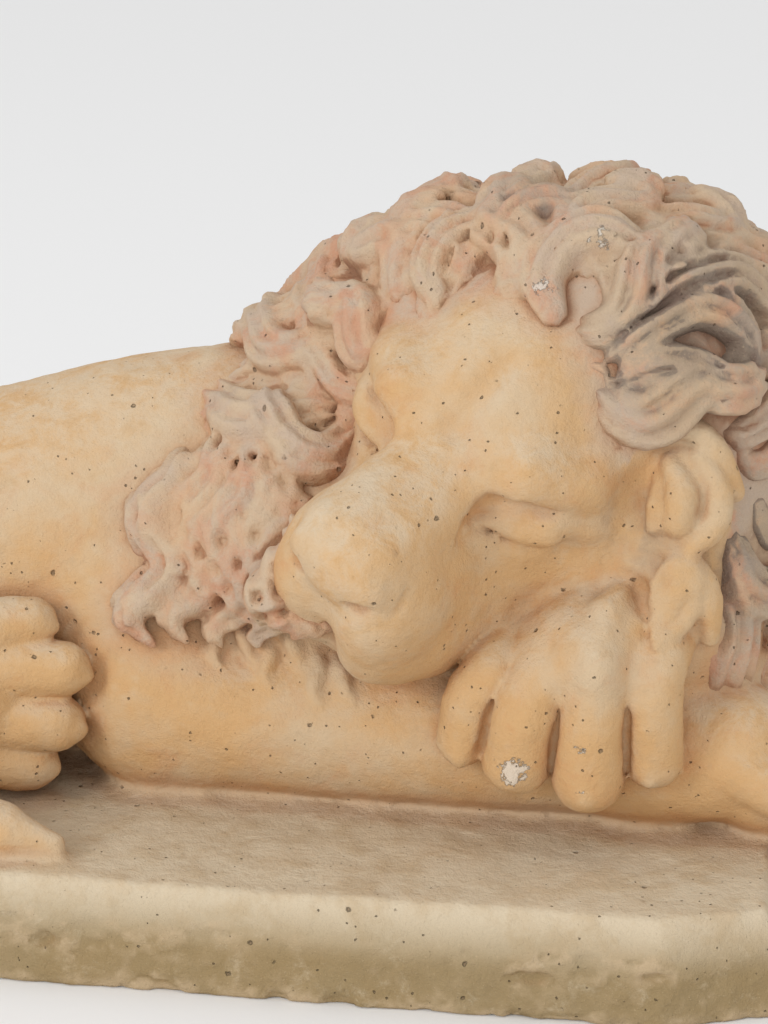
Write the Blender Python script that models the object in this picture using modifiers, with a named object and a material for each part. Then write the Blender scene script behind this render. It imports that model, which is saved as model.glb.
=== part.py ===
"""A sleeping lion for a garden, cast in stone in one piece with its plinth."""
import math

import bmesh
import bpy
import numpy as np
from mathutils import Matrix, Vector

for old in list(bpy.data.objects):
    bpy.data.objects.remove(old, do_unlink=True)

# Driving sizes, in metres
FIGURE_LENGTH = 0.830      # from the bend of the tail to the tips of the right forepaw
TAIL_END_MARGIN = 0.007    # plinth left bare beyond the tail
PAW_OVERHANG = 0.027       # how far the right forepaw hangs over the plinth's end
FRONT_MARGIN = 0.015       # plinth left bare in front of the tail
BACK_MARGIN = 0.015        # plinth left bare behind the mane
PLINTH_HEIGHT = 0.055
BAND_HEIGHT = 0.020        # the sloping band below the top edge
BAND_SETBACK = 0.010
CORNER_CLIP_LONG = 0.100   # the front right corner is cast cut off, long side on the front
CORNER_CLIP_SHORT = 0.040
COARSE_GRAIN = 0.0045      # size of the clay lumps that the big masses are smoothed to
FINE_GRAIN = 0.0034        # the same for locks, toes and face
FIGURE_TRIANGLES = 9300

# The figure is laid out in 830 equal parts of its own length, so a part is about a millimetre.
# Its x runs along the plinth, y away from the viewed front, z up from the plinth's top.
FIGURE_SPAN = 830.0
TAIL_END_X = -398.0
FIGURE_FRONT_Y = -150.0
FIGURE_BACK_Y = 150.0
UNIT = FIGURE_LENGTH / FIGURE_SPAN
PLINTH_LENGTH = FIGURE_LENGTH + TAIL_END_MARGIN - PAW_OVERHANG
PLINTH_DEPTH = (FIGURE_BACK_Y - FIGURE_FRONT_Y) * UNIT + FRONT_MARGIN + BACK_MARGIN
ORIGIN = np.array([
    -PLINTH_LENGTH / 2 + TAIL_END_MARGIN - TAIL_END_X * UNIT,
    -PLINTH_DEPTH / 2 + FRONT_MARGIN - FIGURE_FRONT_Y * UNIT,
    PLINTH_HEIGHT,
])

# The head has axes of its own: to the lion's right, forward along the muzzle, and up.
HEAD_AXES = np.column_stack([
    [-0.832, 0.354, 0.429],
    [-0.511, -0.787, -0.343],
    [0.217, -0.504, 0.836],
])
HEAD_CENTRE = np.array([244.7, -7.8, 188.6])
LEVEL = np.eye(3)
UP = np.array([0.0, 0.0, 1.0])

LOCK_SPACING = 25.0
LOCK_LENGTH = (62.0, 94.0)
LOCK_RADIUS = (11.0, 15.0)
LOCK_STEPS = 9
LOCK_SEED = 7
FRINGE_STRANDS = 7         # the long strands at the throat, in the figure's units
FRINGE_START = 62.0
FRINGE_PITCH = 17.0
FRINGE_TOP = 172.0
FRINGE_STEP_DOWN = 3.0
FRINGE_DROP = 100.0
FRINGE_LEAN = 12.0
FRINGE_SWAY = 8.0
FRINGE_RADIUS = 10.0
TUFT_RADIUS = 8.0


def from_head(point):
    """A point given in the head's axes, in the figure's units."""
    return HEAD_CENTRE + HEAD_AXES @ np.array(point, float)


def axes_along(start, end):
    """Three axes as columns, the second along a limb and the third as near upright as it can be."""
    forward = np.array(end, float) - np.array(start, float)
    forward /= np.linalg.norm(forward)
    up = UP - (UP @ forward) * forward
    up /= np.linalg.norm(up)
    return np.column_stack([np.cross(forward, up), forward, up])


class Modelling:
    """Collects rounded masses and tapered rolls, which are then pressed into one body."""

    def __init__(self):
        self.masses = []
        self.rolls = []

    def mass(self, centre, radii, axes=LEVEL):
        self.masses.append((np.array(centre, float), np.array(radii, float), axes))

    def roll(self, points, radii):
        self.rolls.append((np.array(points, float), np.array(radii, float)))

    def head_mass(self, centre, radii):
        self.mass(from_head(centre), radii, HEAD_AXES)

    def head_roll(self, points, radii):
        self.roll([from_head(point) for point in points], radii)


def smooth_route(points, count):
    """A curve through all the points, as count points."""
    ends = [2 * np.array(points[0]) - points[1], 2 * np.array(points[-1]) - points[-2]]
    route = np.vstack([ends[0], points, ends[1]]).astype(float)
    out = []
    for place in np.linspace(0, len(points) - 1 - 1e-9, count):
        i = int(place)
        t = place - i
        a, b, c, d = route[i:i + 4]
        out.append(0.5 * (2 * b + (c - a) * t + (2 * a - 5 * b + 4 * c - d) * t ** 2
                          + (3 * b - 3 * c + d - a) * t ** 3))
    return np.array(out)


# Big masses
TRUNK_STATIONS = np.array([  # x, y and z of the middle, half width, half height
    (-290, 34, 90, 86, 103), (-215, 38, 92, 92, 106), (-140, 40, 90, 90, 98),
    (-50, 42, 95, 93, 101), (30, 50, 106, 86, 112), (90, 56, 112, 78, 116)], float)
TRUNK_SLICES = 13
SLICE_HALF_LENGTH = 78


def body(clay):
    """A row of overlapping slices from loin to shoulder, then the chest that spreads under the head."""
    stations = np.linspace(0, 1, len(TRUNK_STATIONS))
    for share in np.linspace(0, 1, TRUNK_SLICES):
        x, y, z, half_width, half_height = (np.interp(share, stations, column) for column in TRUNK_STATIONS.T)
        clay.mass((x, y, z), (SLICE_HALF_LENGTH, half_width, half_height))
    clay.mass((200, 60, 80), (120, 92, 90))


def right_foreleg(clay):
    """It lies along the front of the plinth, elbow to the left."""
    clay.mass((62, -8, 62), (58, 50, 64))
    clay.roll([(62, -14, 44), (150, -20, 44), (250, -28, 43), (330, -32, 40)], (48, 46, 42, 37))
    clay.roll([(330, -32, 40), (372, -36, 42), (392, -40, 32)], (38, 38, 32))


def left_foreleg(clay):
    """It comes from behind and crosses over the right one, and the cheek rests on its paw."""
    clay.roll([(300, 110, 55), (362, 50, 78), (350, -10, 100), (322, -42, 108)], (48, 44, 40, 34))
    clay.mass((300, -56, 104), (36, 55, 30), axes_along((262, -76, 92), (340, -42, 122)))


def hind_legs(clay):
    clay.mass((-192, -38, 92), (58, 118, 82), axes_along((-290, -20, 120), (-100, -56, 74)))
    clay.roll([(-90, -62, 70), (-150, -84, 45), (-235, -88, 34)], (40, 30, 26))
    clay.roll([(-238, -88, 32), (-150, -84, 46), (-80, -66, 56), (-40, -58, 60)], (27, 29, 34, 42))
    clay.mass((-210, 96, 78), (110, 50, 76))
    clay.roll([(-225, 118, 27), (-90, 120, 27), (-30, 118, 28)], (26, 27, 30))


MANE_MASSES = [
    ((182, 62, 172), (90, 78, 108), LEVEL),
    ((232, 52, 205), (84, 88, 106), LEVEL),
    ((292, 42, 190), (116, 102, 132), LEVEL),
    ((316, 28, 128), (82, 90, 92), LEVEL),
    ((133, 16, 128), (66, 68, 82), LEVEL),
    (from_head((-16, -62, 18)), (88, 54, 98), HEAD_AXES),
]


def head(clay):
    """Skull and forehead, then cheeks, jaws, the two ridges of the bridge, upper lips and chin."""
    clay.head_mass((0, -42, 22), (68, 80, 72))
    clay.head_mass((0, -2, 38), (56, 60, 49))
    for side in (-1, 1):
        clay.head_mass((side * 38, -4, -12), (35, 56, 54))
        clay.head_mass((side * 27, 36, -24), (34, 62, 36))
        clay.head_mass((side * 28, 28, -46), (33, 60, 29))
        clay.head_roll([(side * 8, 20, 27), (side * 9, 70, 26), (side * 10, 122, 29)], (26, 24, 21))
        clay.head_mass((side * 21, 96, -12), (28, 49, 36))
        clay.head_mass((side * 19, 92, -34), (27, 41, 32))
    clay.head_mass((0, 88, -50), (29, 36, 24))


# Details
def face(clay):
    """Brows, closed lids with their lower rims, and the nose pad."""
    for side in (-1, 1):
        clay.head_roll([(side * 22, 43, 44), (side * 40, 38, 50), (side * 60, 16, 43)], (11, 15, 12))
        clay.head_mass((side * 43, 31, 19), (22, 16, 14))
        clay.head_roll([(side * 35, 62, 10), (side * 46, 51, 5), (side * 58, 36, 6)], (4, 5, 3.5))
    clay.head_mass((0, 136, 26), (29, 14, 18))


def face_hollows(clay):
    """Sockets below the brows, slits of the closed lids, furrow, nostrils and the cleft of the lip."""
    for side in (-1, 1):
        clay.head_roll([(side * 25, 63, 29), (side * 34, 59, 35), (side * 54, 36, 31)], (6, 6, 4))
        clay.head_roll([(side * 24, 66, 18), (side * 36, 57, 16), (side * 52, 47, 10), (side * 64, 30, 13)],
                       (4, 4, 4, 3))
        clay.head_mass((side * 20, 148, 16), (6, 8, 4))
    clay.head_roll([(0, 54, 61), (0, 42, 74), (0, 22, 86)], (5, 6, 4))
    clay.head_roll([(0, 147, 6), (0, 136, -24), (0, 128, -40)], (3.5, 3.5, 3))


def ear(clay):
    """The left ear hangs beside the cheek as a cupped leaf; the right one is lost in the mane."""
    upright = axes_along((0, 0, 0), (0.3, -1, 0.25))
    clay.mass((350, -48, 190), (19, 14, 34), upright)
    rim = [(332, -54, 216), (348, -54, 218), (362, -50, 203), (366, -50, 184), (361, -54, 166), (348, -60, 160)]
    clay.roll(smooth_route(rim, 14), np.interp(np.linspace(0, 1, 14), [0, 0.5, 0.8, 1], [6, 8, 10, 8]))


def ear_hollows(clay):
    """The groove that parts the ear from the cheek, and the cup inside its rim."""
    clay.roll([(334, -68, 212), (326, -64, 190), (320, -70, 168), (311, -70, 150)], (5, 8, 8, 5))
    clay.roll([(347, -68, 206), (348, -70, 180)], (5, 5))


def paws(clay):
    """The toes of the paw under the cheek, of the paw at the plinth's end and of the left hind paw."""
    for x, z, tip_x, tip_z, tip_y, radius in (
            (252, 96, 238, 56, -76, 14.5),
            (279, 98, 266, 50, -84, 17.5),
            (308, 98, 303, 44, -85, 17.5),
            (335, 100, 335, 52, -78, 15.5)):
        middle = ((x + tip_x) / 2 - 1, tip_y - 3, (z + tip_z) / 2 + 6)
        clay.roll([(x + 4, -56, z + 8), (x, -76, z), middle, (tip_x, tip_y, tip_z)],
                  (radius, radius, radius + 0.5, radius + 1))
    for y, rise in ((-66, -2), (-46, 4), (-25, 4), (-6, -2)):
        clay.roll([(375, 0.9 * y - 2, 44 + rise), (405, y - 2, 34 + rise), (420, y - 2, 12 + rise)], (15.5, 15, 12.5))
    for z, tip_x, tip_y, tip_z, radius in (
            (92, 3, -58, 101, 16.5), (74, 20, -63, 77, 18), (48, 16, -65, 47, 18.5), (26, 1, -62, 22, 17.5)):
        clay.roll([(-55, -60, z), (-22, -66, (z + tip_z) / 2 + 2), (tip_x, tip_y, tip_z)],
                  (radius, radius + 0.5, radius - 3))


def tuft(clay):
    """Two leaf-shaped tufts that fall over the wrist, and the fold of skin between ear and paw."""
    leaf = smooth_route([(330, -66, 150), (340, -74, 136), (341, -82, 122), (332, -92, 108)], 7)
    clay.roll(leaf, (8, 11, 12, 11, 9, 6, 3))
    leaf = smooth_route([(324, -66, 142), (310, -72, 135), (302, -82, 124), (306, -90, 112)], 7)
    clay.roll(leaf, (6, 9, 10, 9, 8, 6, 3))
    clay.roll(smooth_route([(322, -60, 158), (342, -60, 154), (354, -60, 138), (356, -58, 116)], 9), [TUFT_RADIUS] * 9)


def tail(clay):
    route = smooth_route([(-330, 30, 100), (-366, 0, 70), (-380, -55, 34), (-345, -108, 20),
                          (-250, -130, 17), (-150, -133, 16), (-85, -131, 16)], 22)
    thickness = np.interp(np.linspace(0, 1, len(route)), [0, 0.3, 1], [22, 16, 13])
    clay.roll(route, thickness)
    clay.mass((-42, -130, 16), (58, 20, 19))
    clay.roll([(-30, -132, 16), (8, -134, 14), (34, -134, 8)], (16, 12, 5))


# The mane: locks that flow over its surface, away from the face
def mane_distance(points):
    """About how far points lie outside the mane's masses; all arrays hold one point per row."""
    nearest = np.full(len(points), np.inf)
    blend = 15.0
    for centre, radii, axes in MANE_MASSES:
        offset = (points - np.array(centre)) @ axes
        inner = np.linalg.norm(offset / radii, axis=1)
        slope = np.linalg.norm(offset / np.square(radii), axis=1) + 1e-9
        distance = inner * (inner - 1) / slope
        overlap = np.maximum(blend - np.abs(nearest - distance), 0)
        nearest = np.minimum(nearest, distance) - overlap ** 2 / (4 * blend)
    return nearest


def mane_normal(points):
    gradient = np.stack([mane_distance(points + step) - mane_distance(points - step)
                         for step in LEVEL * 0.5], axis=1)
    return gradient / np.linalg.norm(gradient, axis=1, keepdims=True)


def settle(points):
    """Moves points onto the mane's surface."""
    for _ in range(2):
        points = points - mane_distance(points)[:, None] * mane_normal(points)
    return points


FACE_MIDDLE = np.array([231.0, -50.0, 196.0])


def hair_direction(points, normals):
    """Away from the face, drawn back and down by its weight."""
    away = points - FACE_MIDDLE
    away /= np.linalg.norm(away, axis=1, keepdims=True)
    weight = 0.35 + 0.5 * np.clip((150 - points[:, 2]) / 100, 0, 1.2)
    pull = away + np.column_stack([np.full(len(points), -0.25), np.full(len(points), 0.15), -weight])
    pull -= np.sum(pull * normals, axis=1, keepdims=True) * normals
    return pull / np.linalg.norm(pull, axis=1, keepdims=True)


def grows_hair(points):
    """The face, the ear and the chest stay bare, and the mane ends above the plinth."""
    right, forward, up = ((points - HEAD_CENTRE) @ HEAD_AXES).T
    muzzle = forward > 55
    wide = np.where(muzzle, 46, np.where(right > 0, 62, 72))
    tall = np.where(muzzle, 60, 84)
    on_head = ((right / wide) ** 2 + ((up - 8) / tall) ** 2 < 1) & (forward > -25)
    x, y, z = points.T
    on_chest = (y < 0) & (z < 110) & (x > 120) & (x < 330)
    on_ear = np.linalg.norm((points - (346, -52, 178)) / (30, 40, 52), axis=1) < 1
    return ~on_head & ~on_chest & ~on_ear & (z > 60)


def lock_roots(rng):
    """Roots spread over the mane, none nearer to another than the spacing."""
    seeds = []
    for centre, radii, axes in MANE_MASSES:
        out = rng.normal(size=(900, 3))
        out /= np.linalg.norm(out, axis=1, keepdims=True)
        seeds.append(np.array(centre) + (out * radii) @ axes.T)
    seeds = rng.permutation(np.vstack(seeds))
    seeds = seeds[mane_distance(seeds) > -12]
    seeds = settle(seeds)
    seeds = seeds[grows_hair(seeds)]
    roots = []
    for seed in seeds:
        if all(np.linalg.norm(seed - root) > LOCK_SPACING for root in roots):
            roots.append(seed)
    return np.array(roots)


def mane_locks(clay):
    rng = np.random.default_rng(LOCK_SEED)
    place = lock_roots(rng)
    count = len(place)
    length = rng.uniform(*LOCK_LENGTH, count)
    radius = rng.uniform(*LOCK_RADIUS, count)
    hand = rng.choice([-1, 1], count)
    wave = rng.uniform(0.45, 0.9, count) * hand
    phase = rng.uniform(0, 2 * math.pi, count)
    routes = []
    for step in range(LOCK_STEPS + 1):
        share = step / LOCK_STEPS
        normal = mane_normal(place)
        ahead = hair_direction(place, normal)
        side = np.cross(normal, ahead)
        curl = 1.9 * hand * max(0, (share - 0.78) / 0.22) ** 1.2
        angle = (wave * np.sin(2.3 * math.pi * share + phase) + curl)[:, None]
        routes.append(place + normal * (15 * share - 5))
        place = settle(place + (np.cos(angle) * ahead + np.sin(angle) * side) * (length / LOCK_STEPS)[:, None])
    shares = np.linspace(0, 1, LOCK_STEPS + 1)
    profile = np.where(shares < 0.8, 0.55 + 0.45 * np.sin(1.25 * math.pi * shares), 1 - 2.25 * (shares - 0.8))
    for index, route in enumerate(np.array(routes).transpose(1, 0, 2)):
        if route[:, 2].min() > 14:
            clay.roll(route, radius[index] * np.clip(profile, 0.5, 1))


FRONT_LOCKS = [  # a few points along each, and its widest radius
    ([(243, 10, 302), (227, 10, 306), (213, 2, 300), (208, -6, 286), (214, -16, 274)], 10),
    ([(296, -4, 309), (273, 10, 318), (254, 6, 314), (249, -8, 302), (257, -20, 290)], 11),
    ([(320, -24, 302), (299, -20, 311), (280, -22, 304), (271, -32, 289), (277, -44, 274)], 12),
    ([(308, -48, 256), (328, -46, 272), (350, -32, 278), (370, -22, 262), (373, -26, 240)], 11),
    ([(314, -44, 272), (340, -30, 288), (364, -6, 288), (384, 8, 270)], 11),
    ([(314, -52, 246), (336, -50, 253), (356, -44, 246), (367, -40, 228)], 9)]


def front_locks(clay):
    """The locks round the forehead, set one by one."""
    shares = np.linspace(0, 1, LOCK_STEPS)
    for points, radius in FRONT_LOCKS:
        clay.roll(smooth_route(points, LOCK_STEPS), radius * np.clip(0.55 + 0.5 * np.sin(math.pi * shares), 0.5, 1))


def fringe(clay):
    """Long strands that fall side by side from the throat on to the shoulder."""
    shares = np.linspace(0, 1, LOCK_STEPS)
    for number in range(FRINGE_STRANDS):
        top = FRINGE_TOP - FRINGE_STEP_DOWN * number
        swing = FRINGE_SWAY * np.sin(2.6 * math.pi * shares + 0.5 * number)
        start = np.column_stack([FRINGE_START + FRINGE_PITCH * number + swing + FRINGE_LEAN * shares,
                                 np.full(LOCK_STEPS, FIGURE_FRONT_Y / 3), top - FRINGE_DROP * shares])
        clay.roll(settle(start) + (0, -4, 0), FRINGE_RADIUS * np.clip(0.6 + 0.5 * np.sin(math.pi * shares), 0.45, 1))


# Turning masses and rolls into one closed mesh
def place_units(points):
    return np.array(points, float) * UNIT + ORIGIN


def collection(name):
    made = bpy.data.collections.new(name)
    bpy.context.scene.collection.children.link(made)
    return made


PARTS = collection("sleeping_lion")
HELPERS = collection("helpers")


def add_object(name, mesh, target=HELPERS):
    made = bpy.data.objects.new(name, mesh)
    target.objects.link(made)
    if target is HELPERS:
        made.hide_render = True
        made.display_type = "WIRE"
    return made


def evaluated_mesh(source):
    depsgraph = bpy.context.evaluated_depsgraph_get()
    depsgraph.update()
    return bpy.data.meshes.new_from_object(source.evaluated_get(depsgraph), depsgraph=depsgraph)


def bake(source):
    """Replaces an object's mesh by its modified one."""
    source.data = evaluated_mesh(source)
    source.modifiers.clear()


def masses_mesh(masses):
    mesh = bmesh.new()
    for centre, radii, axes in masses:
        turn = Matrix(axes.tolist()).to_4x4() @ Matrix.Diagonal(Vector(radii * UNIT)).to_4x4()
        matrix = Matrix.Translation(Vector(place_units(centre))) @ turn
        bmesh.ops.create_uvsphere(mesh, u_segments=32, v_segments=18, radius=1.0, matrix=matrix)
    return mesh


def rolls_mesh(rolls):
    """Each roll is a tapered curve with rounded caps, made into a mesh and welded."""
    curve = bpy.data.curves.new("rolls", "CURVE")
    curve.dimensions = "3D"
    curve.bevel_depth = UNIT
    curve.bevel_resolution = 3
    curve.use_fill_caps = True
    for points, radii in rolls:
        spline = curve.splines.new("POLY")
        spline.points.add(len(points) - 1)
        for control, point, radius in zip(spline.points, place_units(points), radii):
            control.co = (*point, 1.0)
            control.radius = radius
    source = add_object("rolls", curve)
    welded = bmesh.new()
    welded.from_mesh(evaluated_mesh(source))
    bpy.data.objects.remove(source, do_unlink=True)
    bmesh.ops.remove_doubles(welded, verts=welded.verts, dist=1e-5)
    for points, radii in rolls:
        for end, radius in ((points[0], radii[0]), (points[-1], radii[-1])):
            matrix = Matrix.Translation(Vector(place_units(end)))
            bmesh.ops.create_icosphere(welded, subdivisions=2, radius=radius * UNIT * 0.99, matrix=matrix)
    return welded


def to_mesh(name, *pieces):
    """Joins bmeshes into one mesh."""
    joined = bmesh.new()
    for piece in pieces:
        part = bpy.data.meshes.new(name)
        piece.to_mesh(part)
        piece.free()
        joined.from_mesh(part)
    bmesh.ops.recalc_face_normals(joined, faces=joined.faces)
    mesh = bpy.data.meshes.new(name)
    joined.to_mesh(mesh)
    joined.free()
    return mesh


def modifier(target, kind, **settings):
    made = target.modifiers.new(kind.title(), kind)
    for key, value in settings.items():
        setattr(made, key, value)
    return made


def keep_outer_shell(mesh):
    """Deletes the little closed bubbles left between locks; the outer skin is by far the largest."""
    shape = bmesh.new()
    shape.from_mesh(mesh)
    shape.verts.ensure_lookup_table()
    unseen = set(shape.verts)
    shells = []
    while unseen:
        front = [unseen.pop()]
        shell = set(front)
        while front:
            vertex = front.pop()
            for edge in vertex.link_edges:
                other = edge.other_vert(vertex)
                if other in unseen:
                    unseen.discard(other)
                    shell.add(other)
                    front.append(other)
        shells.append(shell)
    largest = max(shells, key=len)
    bmesh.ops.delete(shape, geom=[v for v in shape.verts if v not in largest], context="VERTS")
    shape.to_mesh(mesh)
    shape.free()


def model_figure():
    big = Modelling()
    for make in (body, right_foreleg, left_foreleg, hind_legs, head):
        make(big)
    for centre, radii, axes in MANE_MASSES:
        big.mass(centre, radii, axes)
    figure = add_object("figure", to_mesh("figure", masses_mesh(big.masses), rolls_mesh(big.rolls)))
    modifier(figure, "REMESH", mode="VOXEL", voxel_size=COARSE_GRAIN)
    modifier(figure, "SMOOTH", factor=0.5, iterations=10)
    bake(figure)

    fine = Modelling()
    for make in (face, ear, paws, tuft, tail, mane_locks, front_locks, fringe):
        make(fine)
    rough = bmesh.new()
    rough.from_mesh(figure.data)
    figure.data = to_mesh("figure", rough, masses_mesh(fine.masses), rolls_mesh(fine.rolls))
    modifier(figure, "REMESH", mode="VOXEL", voxel_size=FINE_GRAIN)
    modifier(figure, "SMOOTH", factor=0.5, iterations=2)
    bake(figure)

    hollows = Modelling()
    face_hollows(hollows)
    ear_hollows(hollows)
    cutter = add_object("hollows", to_mesh("hollows", masses_mesh(hollows.masses), rolls_mesh(hollows.rolls)))
    modifier(cutter, "REMESH", mode="VOXEL", voxel_size=FINE_GRAIN / 2)
    modifier(figure, "BOOLEAN", operation="DIFFERENCE", object=cutter)
    modifier(figure, "REMESH", mode="VOXEL", voxel_size=FINE_GRAIN)
    bake(figure)
    keep_outer_shell(figure.data)
    triangles = 2 * len(figure.data.polygons)
    modifier(figure, "DECIMATE", ratio=FIGURE_TRIANGLES / triangles)
    return figure


def at_top(vertex):
    return vertex.co.z > PLINTH_HEIGHT / 2


def model_plinth():
    """A slab with a sloping band below its top edge and the front right corner cut off."""
    shape = bmesh.new()
    size = Matrix.Diagonal((PLINTH_LENGTH, PLINTH_DEPTH, PLINTH_HEIGHT, 1.0))
    bmesh.ops.create_cube(shape, size=1.0, matrix=Matrix.Translation((0, 0, PLINTH_HEIGHT / 2)) @ size)
    corner = Vector((PLINTH_LENGTH / 2 - CORNER_CLIP_LONG, -PLINTH_DEPTH / 2, 0))
    outward = Vector((CORNER_CLIP_SHORT, -CORNER_CLIP_LONG, 0)).normalized()
    everything = shape.verts[:] + shape.edges[:] + shape.faces[:]
    cut = bmesh.ops.bisect_plane(shape, geom=everything, plane_co=corner, plane_no=outward, clear_outer=True)
    bmesh.ops.holes_fill(shape, edges=[e for e in cut["geom_cut"] if isinstance(e, bmesh.types.BMEdge)])
    shape.normal_update()
    top = [face for face in shape.faces if all(at_top(vertex) for vertex in face.verts)]
    bmesh.ops.inset_region(shape, faces=top, thickness=BAND_SETBACK, use_even_offset=True)
    arris = [v for v in shape.verts if at_top(v) and not all(at_top(edge.other_vert(v)) for edge in v.link_edges)]
    for vertex in arris:
        vertex.co.z -= BAND_HEIGHT
    bmesh.ops.recalc_face_normals(shape, faces=shape.faces)
    mesh = bpy.data.meshes.new("plinth")
    shape.to_mesh(mesh)
    shape.free()
    return mesh


def stone():
    material = bpy.data.materials.new("cast_stone")
    material.use_nodes = True
    shader = material.node_tree.nodes["Principled BSDF"]
    shader.inputs["Base Color"].default_value = (0.52, 0.36, 0.20, 1.0)
    shader.inputs["Roughness"].default_value = 0.9
    shader.inputs["Metallic"].default_value = 0.0
    return material


lion = add_object("lion_on_plinth", model_plinth(), PARTS)
modifier(lion, "BOOLEAN", operation="UNION", object=model_figure())
bake(lion)
lion.data.materials.clear()
lion.data.materials.append(stone())
lion.data.shade_smooth()
lion.data.set_sharp_from_angle(angle=math.radians(50))
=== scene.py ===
# %% [markdown]
# # A sleeping lion in cast stone
# The real ornament is one casting: wet stone mix was tamped into a mould, and the lion, its
# mane and its plinth came out as one piece. It then stood outdoors for years, so the stone has
# weathered to ochre and pink, with pinholes, chips and soot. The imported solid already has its
# pose and its size. This lesson dresses it: the same forms are shaped again with finer carving,
# and then the stone gets its surface.

# %% Open the frame and keep its box
import math
import bpy
import numpy as np
import openvdb
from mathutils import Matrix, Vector


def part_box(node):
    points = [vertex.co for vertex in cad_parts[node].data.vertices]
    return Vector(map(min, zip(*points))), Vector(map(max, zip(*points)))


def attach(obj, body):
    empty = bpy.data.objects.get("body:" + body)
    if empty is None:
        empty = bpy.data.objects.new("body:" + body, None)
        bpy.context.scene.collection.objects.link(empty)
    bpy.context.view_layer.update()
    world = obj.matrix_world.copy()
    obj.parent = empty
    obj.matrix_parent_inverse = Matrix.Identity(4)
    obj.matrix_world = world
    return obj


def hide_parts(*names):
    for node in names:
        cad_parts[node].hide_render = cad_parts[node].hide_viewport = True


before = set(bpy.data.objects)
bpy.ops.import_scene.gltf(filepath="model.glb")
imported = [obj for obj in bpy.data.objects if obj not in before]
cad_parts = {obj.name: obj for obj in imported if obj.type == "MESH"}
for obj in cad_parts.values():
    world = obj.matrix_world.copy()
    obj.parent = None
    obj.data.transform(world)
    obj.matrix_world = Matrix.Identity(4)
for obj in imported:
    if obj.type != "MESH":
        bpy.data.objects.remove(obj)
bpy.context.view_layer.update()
low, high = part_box("lion_on_plinth")
print("the casting is", [round((b - a) * 1000) for a, b in zip(low, high)], "mm")

# %% [markdown]
# ## Working sizes
# A sculptor marks out a figure in parts of its own length. Here one unit is a thousandth of a
# metre when the casting is 837 units long, from the plinth's tail end to the resting paw. The
# unit is read from the frame, so the carving stays on a casting of any size. The origin of the
# figure's units is in the middle of the plinth's top.

# %% Units, plinth sizes and the tilt of the head
CASTING_SPAN = 837.0
UNIT = (high.x - low.x) / CASTING_SPAN
PLINTH_HALF_LENGTH = -low.x / UNIT
PLINTH_HALF_DEPTH = high.y / UNIT
PLINTH_HEIGHT = 55.0
BAND_HEIGHT, BAND_SETBACK = 20.0, 10.0
CORNER_CLIP = 22.0
CORNER_FACING = (0.38, -0.92)

LEVEL = np.eye(3)
UPWARD = LEVEL[2]
# The head rolls on to the paw: its columns are the lion's right, forward and up.
HEAD_AXES = np.column_stack([[-0.832, 0.354, 0.429], [-0.511, -0.787, -0.343], [0.217, -0.504, 0.836]])
HEAD_CENTRE = np.array([244.7, -7.8, 188.6])
BOTH_SIDES = (-1, 1)


def from_head(point):
    """A place given as the lion's right, forward and up from the middle of its head."""
    return HEAD_CENTRE + HEAD_AXES @ np.array(point, float)


def axes_along(start, end):
    """Axes whose second column points from start to end and whose third stays upright."""
    forward = np.subtract(end, start) / np.linalg.norm(np.subtract(end, start))
    up = UPWARD - (UPWARD @ forward) * forward
    up /= np.linalg.norm(up)
    return np.column_stack([np.cross(forward, up), forward, up])


def smooth_route(points, count):
    """A smooth curve through the points, read at count places."""
    route = np.array(points, float)
    route = np.vstack([2 * route[0] - route[1], route, 2 * route[-1] - route[-2]])
    places = []
    for where in np.linspace(0, len(route) - 3 - 1e-9, count):
        i, t = int(where), where % 1
        a, b, c, d = route[i:i + 4]
        places.append(0.5 * (2 * b + (c - a) * t + (2 * a - 5 * b + 4 * c - d) * t ** 2
                             + (3 * b - 3 * c + d - a) * t ** 3))
    return np.array(places)


print("one unit is", round(UNIT * 1000, 4), "mm; the plinth is",
      round(2 * PLINTH_HALF_LENGTH), "x", round(2 * PLINTH_HALF_DEPTH))

# %% [markdown]
# ## Clay made of numbers
# The original was modelled in clay: lumps pressed on, blended with a thumb, and cut with a tool.
# Sculpting by hand can't be written in a script, and joining hundreds of meshes is slow and
# leaves seams. So this lesson keeps the clay as a block of numbers, each one the distance to the
# surface, negative inside. A lump is added by keeping the smaller distance, a cut keeps the
# larger one, and rounding the corner between two distances is the thumb that blends them.

# %% The clay block
FAR = 30.0       # the largest distance that the block keeps
MARGIN = 6       # how far past a lump and its blend its window reaches
SEAT_STEP = 0.5  # how finely a ray feels for the surface


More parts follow.
